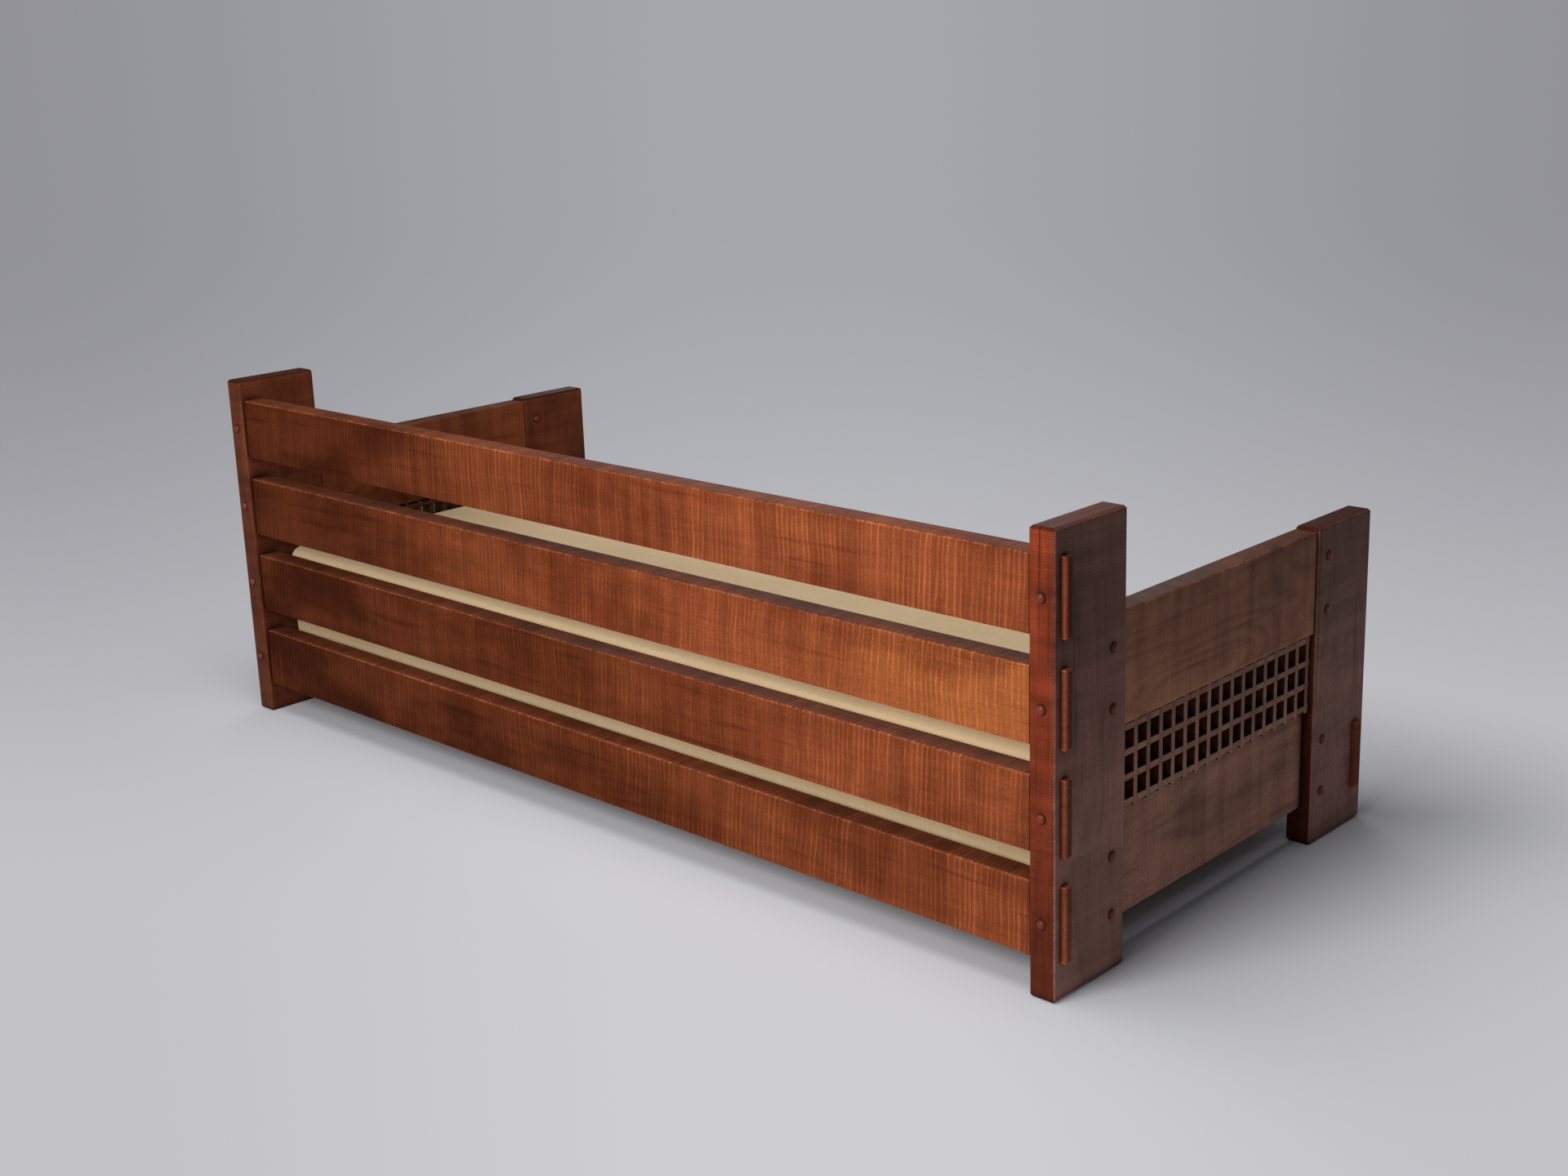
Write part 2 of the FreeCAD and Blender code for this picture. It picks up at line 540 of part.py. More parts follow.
def cushion_section(x, side, base, top, crown, radius):
    diagonal = radius * (1 - math.sqrt(0.5))
    rim = top - crown

    def at(y, z):
        return FreeCAD.Vector(x, y, z)

    inner = side - radius
    edges = [
        Part.makeLine(at(-inner, base), at(inner, base)),
        Part.makeLine(at(inner, base), at(side, base + radius)),
        Part.makeLine(at(side, base + radius), at(side, rim - radius)),
        arc(at(side, rim - radius), at(side - diagonal, rim - diagonal), at(inner, rim)),
        arc(at(inner, rim), at(0, top), at(-inner, rim)),
        arc(at(-inner, rim), at(diagonal - side, rim - diagonal), at(-side, rim - radius)),
        Part.makeLine(at(-side, rim - radius), at(-side, base + radius)),
        Part.makeLine(at(-side, base + radius), at(-inner, base)),
    ]
    return Part.Wire(edges)


def cushion_solid(inset):
    inner_length = size("overall_length") - 2 * size("post_thickness")
    half_length = inner_length / 2 - size("cushion_end_gap") - inset
    seat_depth = size("overall_depth") - size("back_rail_setback") - size("front_rail_setback")
    seat_depth -= 2 * size("rail_thickness")
    half_depth = seat_depth / 2 - size("cushion_side_gap") - inset
    base = inset
    rim = size("cushion_height") - inset
    radius = size("cushion_edge_radius") - inset
    stations = []
    for turn in SECTION_TURNS:
        roll = radius * (1 - math.cos(math.radians(turn)))
        reach = half_length - radius * (1 - math.sin(math.radians(turn)))
        stations.append((reach, roll))
    middle = [(share * half_length, 0) for share in MIDDLE_SHARES]
    stations = stations + middle + [(-reach, roll) for reach, roll in reversed(stations)]
    wires = []
    for x, roll in stations:
        bow = 1 - (x / half_length) ** 2
        side = half_depth - roll - size("cushion_draw_in") * bow
        crown = size("cushion_crown") * (0.35 + 0.65 * bow)
        corner = max(radius - roll, size("cover_thickness") / 2)
        wires.append(cushion_section(x, side, base + roll, rim - roll + crown, crown, corner))
    solid = Part.makeLoft(wires, True, True)
    if solid.Volume < 0:
        solid.reverse()
    return solid


def soft(label, shape):
    thing = doc.addObject("Part::Feature", label)
    thing.Label = label
    thing.Shape = shape
    place(thing, None, "(%s + %s) / 2" % (FRONT_RAIL_Y, BACK_RAIL_Y),
          "Sizes.slat_top_height + Sizes.cushion_rest_gap")
    return thing


cover_inside = size("cover_thickness")
filling_inset = cover_inside + size("cover_clearance")
cover = cushion_solid(0).cut(cushion_solid(cover_inside))
keep(soft("seat_cover", cover), soft("seat_filling", cushion_solid(filling_inset)))

# Every feature is sound before anything is written.
doc.recompute()
for thing in doc.Objects:
    if "Invalid" in thing.State or "Error" in thing.State:
        raise RuntimeError("%s did not build" % thing.Label)
for thing in nodes:
    if thing.Shape.isNull() or not thing.Shape.isValid() or not thing.Shape.Solids:
        raise RuntimeError("%s has no sound solid" % thing.Label)
os.makedirs("parts", exist_ok=True)
for thing in nodes:
    thing.Shape.exportStep(os.path.join("parts", thing.Label + ".step"))
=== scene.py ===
import math
import random

import bmesh
import bpy
import numpy as np
from mathutils import Matrix, Vector, noise


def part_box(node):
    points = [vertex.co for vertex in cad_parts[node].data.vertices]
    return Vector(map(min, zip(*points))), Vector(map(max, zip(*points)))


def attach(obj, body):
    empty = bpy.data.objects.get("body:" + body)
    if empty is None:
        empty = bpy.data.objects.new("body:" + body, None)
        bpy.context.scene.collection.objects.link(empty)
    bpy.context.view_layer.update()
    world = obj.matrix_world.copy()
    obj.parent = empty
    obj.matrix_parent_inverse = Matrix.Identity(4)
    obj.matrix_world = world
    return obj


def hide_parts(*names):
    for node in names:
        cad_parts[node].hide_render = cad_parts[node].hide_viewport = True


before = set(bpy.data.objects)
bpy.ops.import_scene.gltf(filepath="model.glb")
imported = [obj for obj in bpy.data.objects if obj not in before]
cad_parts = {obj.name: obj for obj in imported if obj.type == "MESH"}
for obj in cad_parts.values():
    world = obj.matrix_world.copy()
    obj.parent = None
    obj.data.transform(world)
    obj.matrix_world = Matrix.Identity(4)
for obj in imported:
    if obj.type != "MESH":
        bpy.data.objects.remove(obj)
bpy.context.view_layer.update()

scene = bpy.context.scene
scene.view_settings.view_transform = "Standard"

# Places on the part, in metres
POST_INNER = 1.005
POST_OUTER = 1.05
ARM_END = 0.28
STREAK_X = -1.027


def srgb(red, green, blue):
    """A colour given as 0 to 255, as the linear values that a shader takes."""
    def channel(value):
        value /= 255
        return value / 12.92 if value <= 0.04045 else ((value + 0.055) / 1.055) ** 2.4
    return channel(red), channel(green), channel(blue), 1.0


class Graph:
    """One node tree, with short calls for the nodes that the materials share."""

    def __init__(self, tree):
        self.tree = tree

    def put(self, kind, inputs=None, **settings):
        made = self.tree.nodes.new(kind)
        for name, value in settings.items():
            setattr(made, name, value)
        for name, value in (inputs or {}).items():
            self.feed(made.inputs[name], value)
        return made

    def feed(self, socket, value):
        if isinstance(value, bpy.types.NodeSocket):
            self.tree.links.new(value, socket)
        else:
            socket.default_value = value

    def math(self, operation, *values):
        made = self.put("ShaderNodeMath", operation=operation)
        for socket, value in zip(made.inputs, values):
            self.feed(socket, value)
        return made.outputs[0]

    def add(self, *values):
        total = values[0]
        for value in values[1:]:
            total = self.math("ADD", total, value)
        return total

    def times(self, *values):
        total = values[0]
        for value in values[1:]:
            total = self.math("MULTIPLY", total, value)
        return total

    def smooth(self, value, low, high, start=0.0, end=1.0):
        """A soft step from start to end while the value goes from low to high."""
        made = self.put("ShaderNodeMapRange", interpolation_type="SMOOTHSTEP")
        for name, number in zip(("Value", "From Min", "From Max", "To Min", "To Max"),
                                (value, low, high, start, end)):
            self.feed(made.inputs[name], number)
        return made.outputs[0]

    def split(self, vector):
        return self.put("ShaderNodeSeparateXYZ", {"Vector": vector}).outputs

    def join(self, x, y, z):
        return self.put("ShaderNodeCombineXYZ", {"X": x, "Y": y, "Z": z}).outputs[0]

    def stretch(self, vector, x, y, z):
        made = self.put("ShaderNodeVectorMath", operation="MULTIPLY")
        self.feed(made.inputs[0], vector)
        made.inputs[1].default_value = (x, y, z)
        return made.outputs[0]

    def scale(self, vector, factor):
        made = self.put("ShaderNodeVectorMath", {0: vector, "Scale": factor}, operation="SCALE")
        return made.outputs[0]

    def noise(self, vector, detail=1.0, rough=0.5):
        made = self.put("ShaderNodeTexNoise", {"Vector": vector, "Scale": 1.0,
                                               "Detail": detail, "Roughness": rough})
        return made.outputs["Fac"]

    def mix(self, share, first, second):
        made = self.put("ShaderNodeMix", data_type="RGBA")
        self.feed(made.inputs[0], share)
        self.feed(made.inputs[6], first)
        self.feed(made.inputs[7], second)
        return made.outputs[2]

    def tint(self, share, colour, red, green, blue):
        """The colour, with a share of itself times three numbers mixed in."""
        return self.mix(share, colour, self.stretch(colour, red, green, blue))


def new_material(name):
    material = bpy.data.materials.new(name)
    material.use_nodes = True
    graph = Graph(material.node_tree)
    return material, graph, material.node_tree.nodes["Principled BSDF"]


def wear_distance(graph, place, low, high):
    """How far a point on a board's face is from the nearest arris of that board."""
    gaps = []
    for value, least, most in zip(graph.split(place), low, high):
        offset = graph.math("SUBTRACT", value, (least + most) / 2)
        gaps.append(graph.math("SUBTRACT", (most - least) / 2, graph.math("ABSOLUTE", offset)))
    lesser = graph.math("MINIMUM", gaps[0], gaps[1])
    greater = graph.math("MAXIMUM", gaps[0], gaps[1])
    return graph.math("MAXIMUM", lesser, graph.math("MINIMUM", greater, gaps[2]))


# Largest share of the top tones on a face that looks up
TOP_SHARE = 0.85


def wood(name, axes, box, seed, tones, figure=0.5, period=0.0105, lean=0.0, fade=None, gold=None,
         wear=0.5, gloss=0.50, spec=0.06, swirl=0.15, outer=0, tenon=False, ripple=False,
         rounding=0.0025, streak=None):
    """Figured hardwood for one board.

    axes give the grain, width and thickness directions, and box the arrises that are worn and lit with a
    painted highlight.
    figure, period and lean are the strength, spacing and slant of the lines across the grain,
    which ripple makes soft. fade is the axis, start, end and share of the dark tone, partly
    stain and partly painted shade, and gold the start, end and share of the light one along x,
    partly stain and partly painted light. outer is the sign of x on the outer side, and streak
    the x of a dark streak.
    """
    material, graph, shader = new_material(name)
    place = graph.put("ShaderNodeTexCoord").outputs["Object"]
    parts = graph.split(place)
    along, across, depth = (parts[axis] for axis in axes)
    board = graph.join(graph.add(along, seed * 3.17), graph.add(across, seed * 1.31),
                       graph.add(depth, seed * 0.73))
    u, v, w = graph.split(board)

    def board_noise(rate, spread, detail=1.0, rough=0.5):
        """Noise with its own rates along the grain and across it."""
        return graph.noise(graph.stretch(board, rate, spread, spread), detail, rough)

    # Thin lines across the grain, nearly straight, that come and go in patches
    wander = graph.math("SUBTRACT", board_noise(2.2, 5.0, 2.0), 0.5)
    run = graph.add(u, graph.times(v, lean), graph.times(wander, 0.030))

    def line_noise(rate, spread):
        """Noise with its own rates from line to line and along each line."""
        return graph.noise(graph.join(graph.times(run, rate), graph.times(v, spread),
                                      graph.times(w, spread)))

    jitter = line_noise(0.5 / period, 3.0)
    phase = graph.add(graph.times(run, 1 / period), graph.times(jitter, 1.5))
    ridge = graph.math("PINGPONG", phase, 0.5)
    if ripple:
        crest = graph.smooth(ridge, 0.10, 0.50, 0.0, 0.6)
    else:
        breadth = graph.smooth(board_noise(1.6, 3.0), 0.36, 0.64, 0.27, 0.40)
        between = graph.math("PINGPONG", graph.times(phase, 2.0), 0.5)
        crest = graph.add(graph.smooth(ridge, breadth, 0.49),
                          graph.smooth(between, 0.34, 0.47, 0.0, 0.15))
    force = graph.smooth(line_noise(0.7 / period, 9.0), 0.34, 0.60, 0.25, 1.0)
    hair = graph.smooth(line_noise(4.5 / period, 30.0), 0.48, 0.72, 0.0, 0.30)
    patch = graph.smooth(board_noise(6.0, 10.0, 2.0), 0.34, 0.58, 0.40, 1.0)
    lines = graph.times(graph.add(graph.times(crest, force), hair), patch)

    # Clouds, bands, stains, growth rings and pores
    cloud = graph.smooth(board_noise(3.0, 8.0, 3.0, 0.55), 0.30, 0.70)
    band = graph.smooth(line_noise(34.0, 3.5), 0.32, 0.68)
    stain = graph.smooth(board_noise(3.2, 48.0, 2.0, 0.6), 0.58, 0.74)
    ring = graph.math("PINGPONG", graph.times(board_noise(1.5, 6.5, 1.5, 0.45), 15.0), 0.5)
    ring = graph.times(graph.smooth(ring, 0.08, 0.50), graph.smooth(cloud, 0.1, 0.8, 1.0, 0.35))
    pore = graph.smooth(board_noise(110.0, 1300.0, 0.0), 0.58, 0.78)
    mottle = graph.times(graph.smooth(board_noise(420.0, 300.0), 0.30, 0.70, 0.88, 1.12),
                         graph.smooth(board_noise(7.0, 260.0, 2.0, 0.6), 0.30, 0.70, 0.93, 1.07))

    tone = graph.add(graph.times(cloud, 0.60), graph.times(band, 0.40))
    colour = graph.mix(tone, tones["deep"], tones["base"])
    if gold:
        start, end, most = gold
        share = graph.times(graph.smooth(parts[0], start, end),
                            graph.smooth(cloud, 0.0, 0.8, 0.2, 0.9), most)
        colour = graph.mix(share, colour, tones["gold"])
    if fade:
        axis, start, end, most = fade
        share = graph.times(graph.smooth(parts[axis], start, end, 0.0, most),
                            graph.smooth(cloud, 0.0, 1.0, 1.0, 0.75))
        colour = graph.mix(share, colour, tones["dark"])
    if tenon:
        proud = graph.smooth(graph.math("ABSOLUTE", parts[0]), POST_OUTER - 0.0005, POST_OUTER + 0.0005)
        colour = graph.mix(graph.times(proud, 0.85), colour, tones["tenon"])

    # The tops take browner tones, partly stain and partly painted shade; the outer ends take a greyer
    # tone, partly faded stain and partly painted reflection of the pale floor
    facing = graph.split(graph.put("ShaderNodeNewGeometry").outputs["Normal"])
    upward = graph.smooth(facing[2], 0.35, 0.80, 0.0, TOP_SHARE)
    colour = graph.mix(upward, colour, graph.mix(tone, tones["top_deep"], tones["top"]))
    if outer:
        outward = graph.smooth(graph.times(facing[0], outer), 0.40, 0.85, 0.0, 0.9)
        ends = graph.mix(tone, tones["end_deep"], tones["end"])
        # Painted light: towards the bottom the outer ends grow up to 1.9 times brighter
        ends = graph.scale(ends, graph.smooth(parts[2], 0.62, 0.20, 1.0, 1.9))
        colour = graph.mix(outward, colour, ends)

    lines = graph.times(lines, graph.smooth(upward, 0.0, TOP_SHARE, 1.0, 0.75))
    if tenon:
        lines = graph.times(lines, graph.smooth(proud, 0.0, 1.0, 1.0, 0.2))
    colour = graph.tint(graph.times(lines, figure), colour, 2.3, 2.6, 2.2)
    colour = graph.tint(graph.times(ring, swirl), colour, 0.45, 0.40, 0.40)
    colour = graph.tint(graph.times(stain, 0.55), colour, 0.48, 0.42, 0.42)
    colour = graph.tint(graph.times(pore, 0.14), colour, 0.55, 0.5, 0.5)
    if streak is not None:
        off = graph.math("ABSOLUTE", graph.add(parts[0], -streak, graph.times(wander, 0.012)))
        share = graph.times(graph.smooth(off, 0.0004, 0.0030, 0.7, 0.0),
                            graph.smooth(parts[2], 0.45, 0.66))
        colour = graph.tint(share, colour, 0.30, 0.28, 0.30)
    colour = graph.scale(colour, mottle)

    # Rubbed arrises, partly wear and partly painted highlight, and dirt with painted shade in the joints,
    # drawn from ambient occlusion
    arris = wear_distance(graph, place, *box)
    nicks_and_glints = board_noise(95.0, 260.0, 3.0, 0.7)
    arris_band = graph.times(graph.smooth(arris, 0.0006, 0.0038, 1.0, 0.0),
                          graph.smooth(arris, -0.003, -0.001))
    rubbed_and_highlit = graph.times(arris_band, graph.smooth(nicks_and_glints, 0.42, 0.58))
    # Painted highlight along the arrises, lightened together with their wear
    colour = graph.tint(graph.times(rubbed_and_highlit, wear), colour, 2.5, 2.6, 2.4)
    # Painted shade in the corners and joints from ambient occlusion, together with dirt
    corner = graph.put("ShaderNodeAmbientOcclusion", {"Distance": 0.020}, samples=6).outputs["AO"]
    dirt = graph.smooth(corner, 0.46, 0.94, 0.85, 0.0)
    if tenon:
        dirt = graph.times(dirt, graph.smooth(proud, 0.0, 1.0, 1.0, 0.45))
    colour = graph.mix(dirt, colour, tones["dirt"])
    shader.inputs["Base Color"].default_value = tones["base"]
    graph.feed(shader.inputs["Base Color"], colour)

    rough = graph.add(gloss, graph.times(cloud, 0.06), graph.times(pore, 0.06),
                      graph.times(arris_band, -0.16), graph.times(dirt, 0.25))
    graph.feed(shader.inputs["Roughness"], rough)
    shine = graph.smooth(upward, 0.0, TOP_SHARE, spec, spec * 0.3)
    graph.feed(shader.inputs["Specular IOR Level"], shine)

    relief = graph.add(graph.times(lines, 0.30), graph.times(pore, -0.20), graph.times(rubbed_and_highlit, -0.8))
    soft = graph.put("ShaderNodeBevel", {"Radius": rounding}, samples=6).outputs[0]
    bump = graph.put("ShaderNodeBump", {"Strength": 0.35, "Distance": 0.0004,
                                        "Height": relief, "Normal": soft})
    graph.feed(shader.inputs["Normal"], bump.outputs[0])
    return material


def dress(node, material):
    """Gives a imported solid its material."""
    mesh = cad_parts[node].data
    mesh.materials.clear()
    mesh.materials.append(material)


# Tones of the stained wood; the top, end, gold, dark and dirt tones also carry painted light and shade
BACK = {"deep": srgb(100, 46, 25), "base": srgb(138, 71, 41), "gold": srgb(160, 90, 48),
        "dark": srgb(56, 21, 6), "tenon": srgb(146, 70, 45),
        "top_deep": srgb(84, 44, 29), "top": srgb(120, 64, 41),
        "end_deep": srgb(58, 34, 25), "end": srgb(88, 54, 41), "dirt": srgb(30, 17, 12)}
POST = {"deep": srgb(92, 36, 19), "base": srgb(150, 64, 35), "dark": srgb(66, 28, 15),
        "top_deep": srgb(40, 14, 7), "top": srgb(68, 27, 13),
        "end_deep": srgb(92, 66, 58), "end": srgb(122, 89, 80), "dirt": srgb(28, 17, 13)}
BROWN_POST = dict(POST, deep=srgb(82, 40, 24), base=srgb(122, 65, 41))
ARM = {"deep": srgb(86, 44, 25), "base": srgb(122, 64, 38),
       "top_deep": srgb(64, 34, 20), "top": srgb(104, 58, 36),
       "end_deep": srgb(101, 71, 58), "end": srgb(133, 96, 81), "dirt": srgb(28, 18, 14)}
TOP_ARM = dict(ARM, end_deep=srgb(118, 78, 60), end=srgb(153, 106, 82))
GRID = {"deep": srgb(64, 36, 23), "base": srgb(96, 54, 33),
        "top_deep": srgb(56, 34, 25), "top": srgb(78, 50, 37),
        "end_deep": srgb(104, 74, 61), "end": srgb(142, 106, 90), "dirt": srgb(20, 13, 10)}
PEG = {"deep": srgb(92, 38, 23), "base": srgb(136, 60, 39),
       "top_deep": srgb(80, 44, 32), "top": srgb(112, 64, 48), "dirt": srgb(20, 12, 9)}
SEAT = {"deep": srgb(146, 104, 68), "base": srgb(182, 138, 94),
        "top_deep": srgb(146, 106, 70), "top": srgb(180, 138, 98), "dirt": srgb(70, 50, 36)}

# Axes of the grain, the width and the thickness
ALONG_X, ALONG_Y, ALONG_Z = (0, 2, 1), (1, 2, 0), (2, 1, 0)
OUTWARD = {"right": -1, "left": 1}

# Where along x each back rail turns dark, from the lowest rail up: partly darker stain, partly painted
# shade
RAIL_FADES = ((-1.3, 0.45), (-1.0, 0.8), (-0.5, 1.1), (-0.5, 0.85))
RAIL_LOOK = {"figure": 0.60, "lean": 0.05, "wear": 0.8, "spec": 0.02, "outer": -1, "tenon": True}
GOLDEN_RAIL = 3


def between_posts(name):
    """The box of a rail without its tenons."""
    low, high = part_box(name)
    low.x, high.x = -POST_INNER, POST_INNER
    return low, high


for number, (start, end) in enumerate(RAIL_FADES, 1):
    name = f"back_rail_{number}"
    # The golden rail grows lighter towards its right end, partly stain and partly painted light
    gold = (-0.45, -0.95, 0.85) if number == GOLDEN_RAIL else None
    dress(name, wood(name, ALONG_X, between_posts(name), number * 2.3, BACK,
                     fade=(0, start, end, 0.98), gold=gold, **RAIL_LOOK))
dress("front_rail", wood("front_rail", ALONG_X, between_posts("front_rail"), 14.9, BACK, **RAIL_LOOK))

for number, name in enumerate(("rear_post_right", "rear_post_left",
                               "front_post_right", "front_post_left")):
    side = name.split("_")[-1]
    tones, streak = (BROWN_POST, None) if number else (POST, STREAK_X)
    # The posts darken along x on the left and towards the bottom on the right, partly stain and partly
    # painted shade
    fade = (0, 0.2, 0.9, 0.30) if side == "left" else (2, 0.40, 0.05, 0.9)
    dress(name, wood(name, ALONG_Z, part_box(name), 21.0 + number * 1.9, tones, figure=0.30,
                     period=0.0044, fade=fade, wear=0.35, swirl=0.25, outer=OUTWARD[side],
                     ripple=True, rounding=0.006, streak=streak))

for number, name in enumerate(("arm_top_board_right", "arm_top_board_left",
                               "arm_low_board_right", "arm_low_board_left")):
    low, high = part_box(name)
    low.y, high.y = -ARM_END, ARM_END
    tones = TOP_ARM if "top" in name else ARM
    dress(name, wood(name, ALONG_Y, (low, high), 33.0 + number * 2.7, tones, figure=0.34,
                     period=0.0050, swirl=0.42, outer=OUTWARD[name.split("_")[-1]]))

for side in ("right", "left"):
    for part, axes in (("uprights", ALONG_Z), ("strips", ALONG_Y)):
        name = f"lattice_{part}_{side}"
        dress(name, wood(name, axes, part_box(name), 51.0, GRID, figure=0.15, wear=0.2,
                         outer=OUTWARD[side]))

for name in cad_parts:
    if name.startswith("seat_slat") or name.startswith("seat_ledger"):
        axes = ALONG_Y if "slat" in name else ALONG_X
        dress(name, wood(name, axes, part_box(name), 71.0, SEAT, figure=0.1, wear=0.2, gloss=0.6))


# Pegs, turned by hand and domed where they stand proud
PEG_APART = 0.025
DOME_HEIGHT = 0.0046
DOME_TIP = 0.02
PLAIN_STEP = 0.0005
chance = random.Random(7)


def peg_places(node, axis):
    """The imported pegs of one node, as (centre, radius, lowest end, highest end)."""
    points = np.array([tuple(v.co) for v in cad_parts[node].data.vertices])
    sides = [k for k in range(3) if k != axis]
    groups = []
    for point in points:
        for group in groups:
            if np.hypot(*(point[sides] - group[0][sides])) < PEG_APART:
                group.append(point)
                break
        else:
            groups.append([point])
    places = []
    for group in groups:
        low, high = np.min(group, 0), np.max(group, 0)
        places.append(((low + high) / 2, (high - low)[sides].mean() / 2, low[axis], high[axis]))
    return places


def peg_end(end, inward, radius, height, domed, rows):
    """The rings of one end of a peg, from its tip inwards, as (level, radius)."""
    rings = []
    for step in range(rows):
        share = step / (rows - 1) * math.pi / 2
        if domed:
            rings.append((end + inward * height * (1 - math.cos(share)),
                          radius * max(math.sin(share), DOME_TIP)))
        else:
            rings.append((end + inward * PLAIN_STEP * step, radius))
    return rings


def domed_pegs(name, node, axis, domes, rows=6, turns=28):
    """One piece with a round peg for every packed peg of the node. domes say which ends are domed."""
    sides = [k for k in range(3) if k != axis]
    vertices, faces = [], []
    for centre, radius, low, high in peg_places(node, axis):
        radius *= chance.uniform(0.99, 1.05)
        oval, turn = chance.uniform(0.96, 1.0), chance.uniform(0, math.pi)
        height = DOME_HEIGHT * chance.uniform(0.9, 1.1)
        profile = peg_end(low, 1, radius, height, domes[0], rows)
        profile += reversed(peg_end(high, -1, radius, height, domes[1], rows))
        first = len(vertices)
        for level, reach in profile:
            for k in range(turns):
                angle = 2 * math.pi * k / turns
                a, b = math.cos(angle) * reach, math.sin(angle) * reach * oval
                point = [0, 0, 0]
                point[axis] = level
                point[sides[0]] = centre[sides[0]] + a * math.cos(turn) - b * math.sin(turn)
                point[sides[1]] = centre[sides[1]] + a * math.sin(turn) + b * math.cos(turn)
                vertices.append(point)
        for ring in range(len(profile) - 1):
            for k in range(turns):
                here, there = first + ring * turns + k, first + ring * turns + (k + 1) % turns
                faces.append((here, there, there + turns, here + turns))
        faces.append(tuple(first + k for k in reversed(range(turns))))
        last = first + (len(profile) - 1) * turns
        faces.append(tuple(last + k for k in range(turns)))
    mesh = bpy.data.meshes.new(name)
    mesh.from_pydata(vertices, [], faces)
    mesh.update()
    work = bmesh.new()
    work.from_mesh(mesh)
    bmesh.ops.recalc_face_normals(work, faces=work.faces)
    work.to_mesh(mesh)
    work.free()
    mesh.shade_smooth()
    piece = bpy.data.objects.new(name, mesh)
    scene.collection.objects.link(piece)
    mesh.materials.append(wood(name, (axis, *sides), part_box(node), 63.0, PEG, figure=0.1, wear=0.0,
                               gloss=0.30, spec=0.18))
    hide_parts(node)
    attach(piece, "frame")


for node in [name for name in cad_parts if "pegs" in name]:
    if node.startswith("arm"):
        domed_pegs("domed_" + node, node, 0, (True, True))
    elif node in ("back_rail_pegs", "ledger_pegs_front"):
        domed_pegs("domed_" + node, node, 1, (False, True))
    else:
        domed_pegs("domed_" + node, node, 1, (True, False))


# Seat cushion: a canvas cover round a foam block
WEAVE = 0.0024
SEAM = 0.258
BORDER = 10.0
CORNER_RADII = (0.016, 0.028, 0.028)
GRID_STEP = 0.017
SIDE_SLACK = 0.004
TOP_SLACK = 0.008
FOOT_GAP = 0.0006
STILL_HEIGHT = 0.012
FRAMES = 20


def stops(low, high, step, extra=()):
    """Grid lines from low to high, closer together near both ends and near the extra ones."""
    near = (0.0, 0.005, 0.011, 0.018, 0.027, 0.038, 0.052)
    inner = high - low - 2 * near[-1]
    count = round(inner / step)
    lines = {round(low + n, 5) for n in near} | {round(high - n, 5) for n in near}
    lines |= {round(low + near[-1] + inner * k / count, 5) for k in range(count + 1)}
    for line in extra:
        lines = {n for n in lines if abs(n - line) > 0.012}
        lines |= {round(line + n, 5) for n in (-0.010, -0.004, 0.0, 0.004, 0.010)}
    return sorted(lines)


def cushion_mesh(name, low, high, radii, step):
    """A closed grid in the shape of a rounded block, with the cloth's own lengths as its UV map."""
    grid = [stops(low[0], high[0], step), stops(low[1], high[1], step),
            stops(low[2], high[2], step, (SEAM,))]
    radii = np.array(radii)
    inner_low, inner_high = np.array(low) + radii, np.array(high) - radii
    index, points, faces, maps = {}, [], [], []

    def corner(place):
        if place not in index:
            index[place] = len(points)
            core = np.clip(place, inner_low, inner_high)
            lean = (place - core) / radii
            points.append(core + radii * lean / np.linalg.norm(lean))
        return index[place]

    for axis in range(3):
        first, second = [k for k in range(3) if k != axis]
        for outside, flip in ((grid[axis][0], True), (grid[axis][-1], False)):
            if axis == 1:
                flip = not flip
            for a, b in zip(grid[first], grid[first][1:]):
                for c, d in zip(grid[second], grid[second][1:]):
                    square = []
                    for left, right in ((a, c), (b, c), (b, d), (a, d)):
                        place = [0.0, 0.0, 0.0]
                        place[axis], place[first], place[second] = outside, left, right
                        square.append(tuple(place))
                    if flip:
                        square.reverse()
                    faces.append([corner(place) for place in square])
                    lift = 0.0 if axis == 2 else BORDER
                    maps.append([(place[first], place[second] + lift) for place in square])
    mesh = bpy.data.meshes.new(name)
    mesh.from_pydata(points, [], faces)
    layer = mesh.uv_layers.new(name="weave")
    flat = [value for square in maps for pair in square for value in pair]
    layer.data.foreach_set("uv", flat)
    mesh.update()
    mesh.shade_smooth()
    return mesh


def read_points(mesh):
    """The mesh's points as an array with a row for each."""
    values = np.empty(len(mesh.vertices) * 3)
    mesh.vertices.foreach_get("co", values)
    return values.reshape(-1, 3)


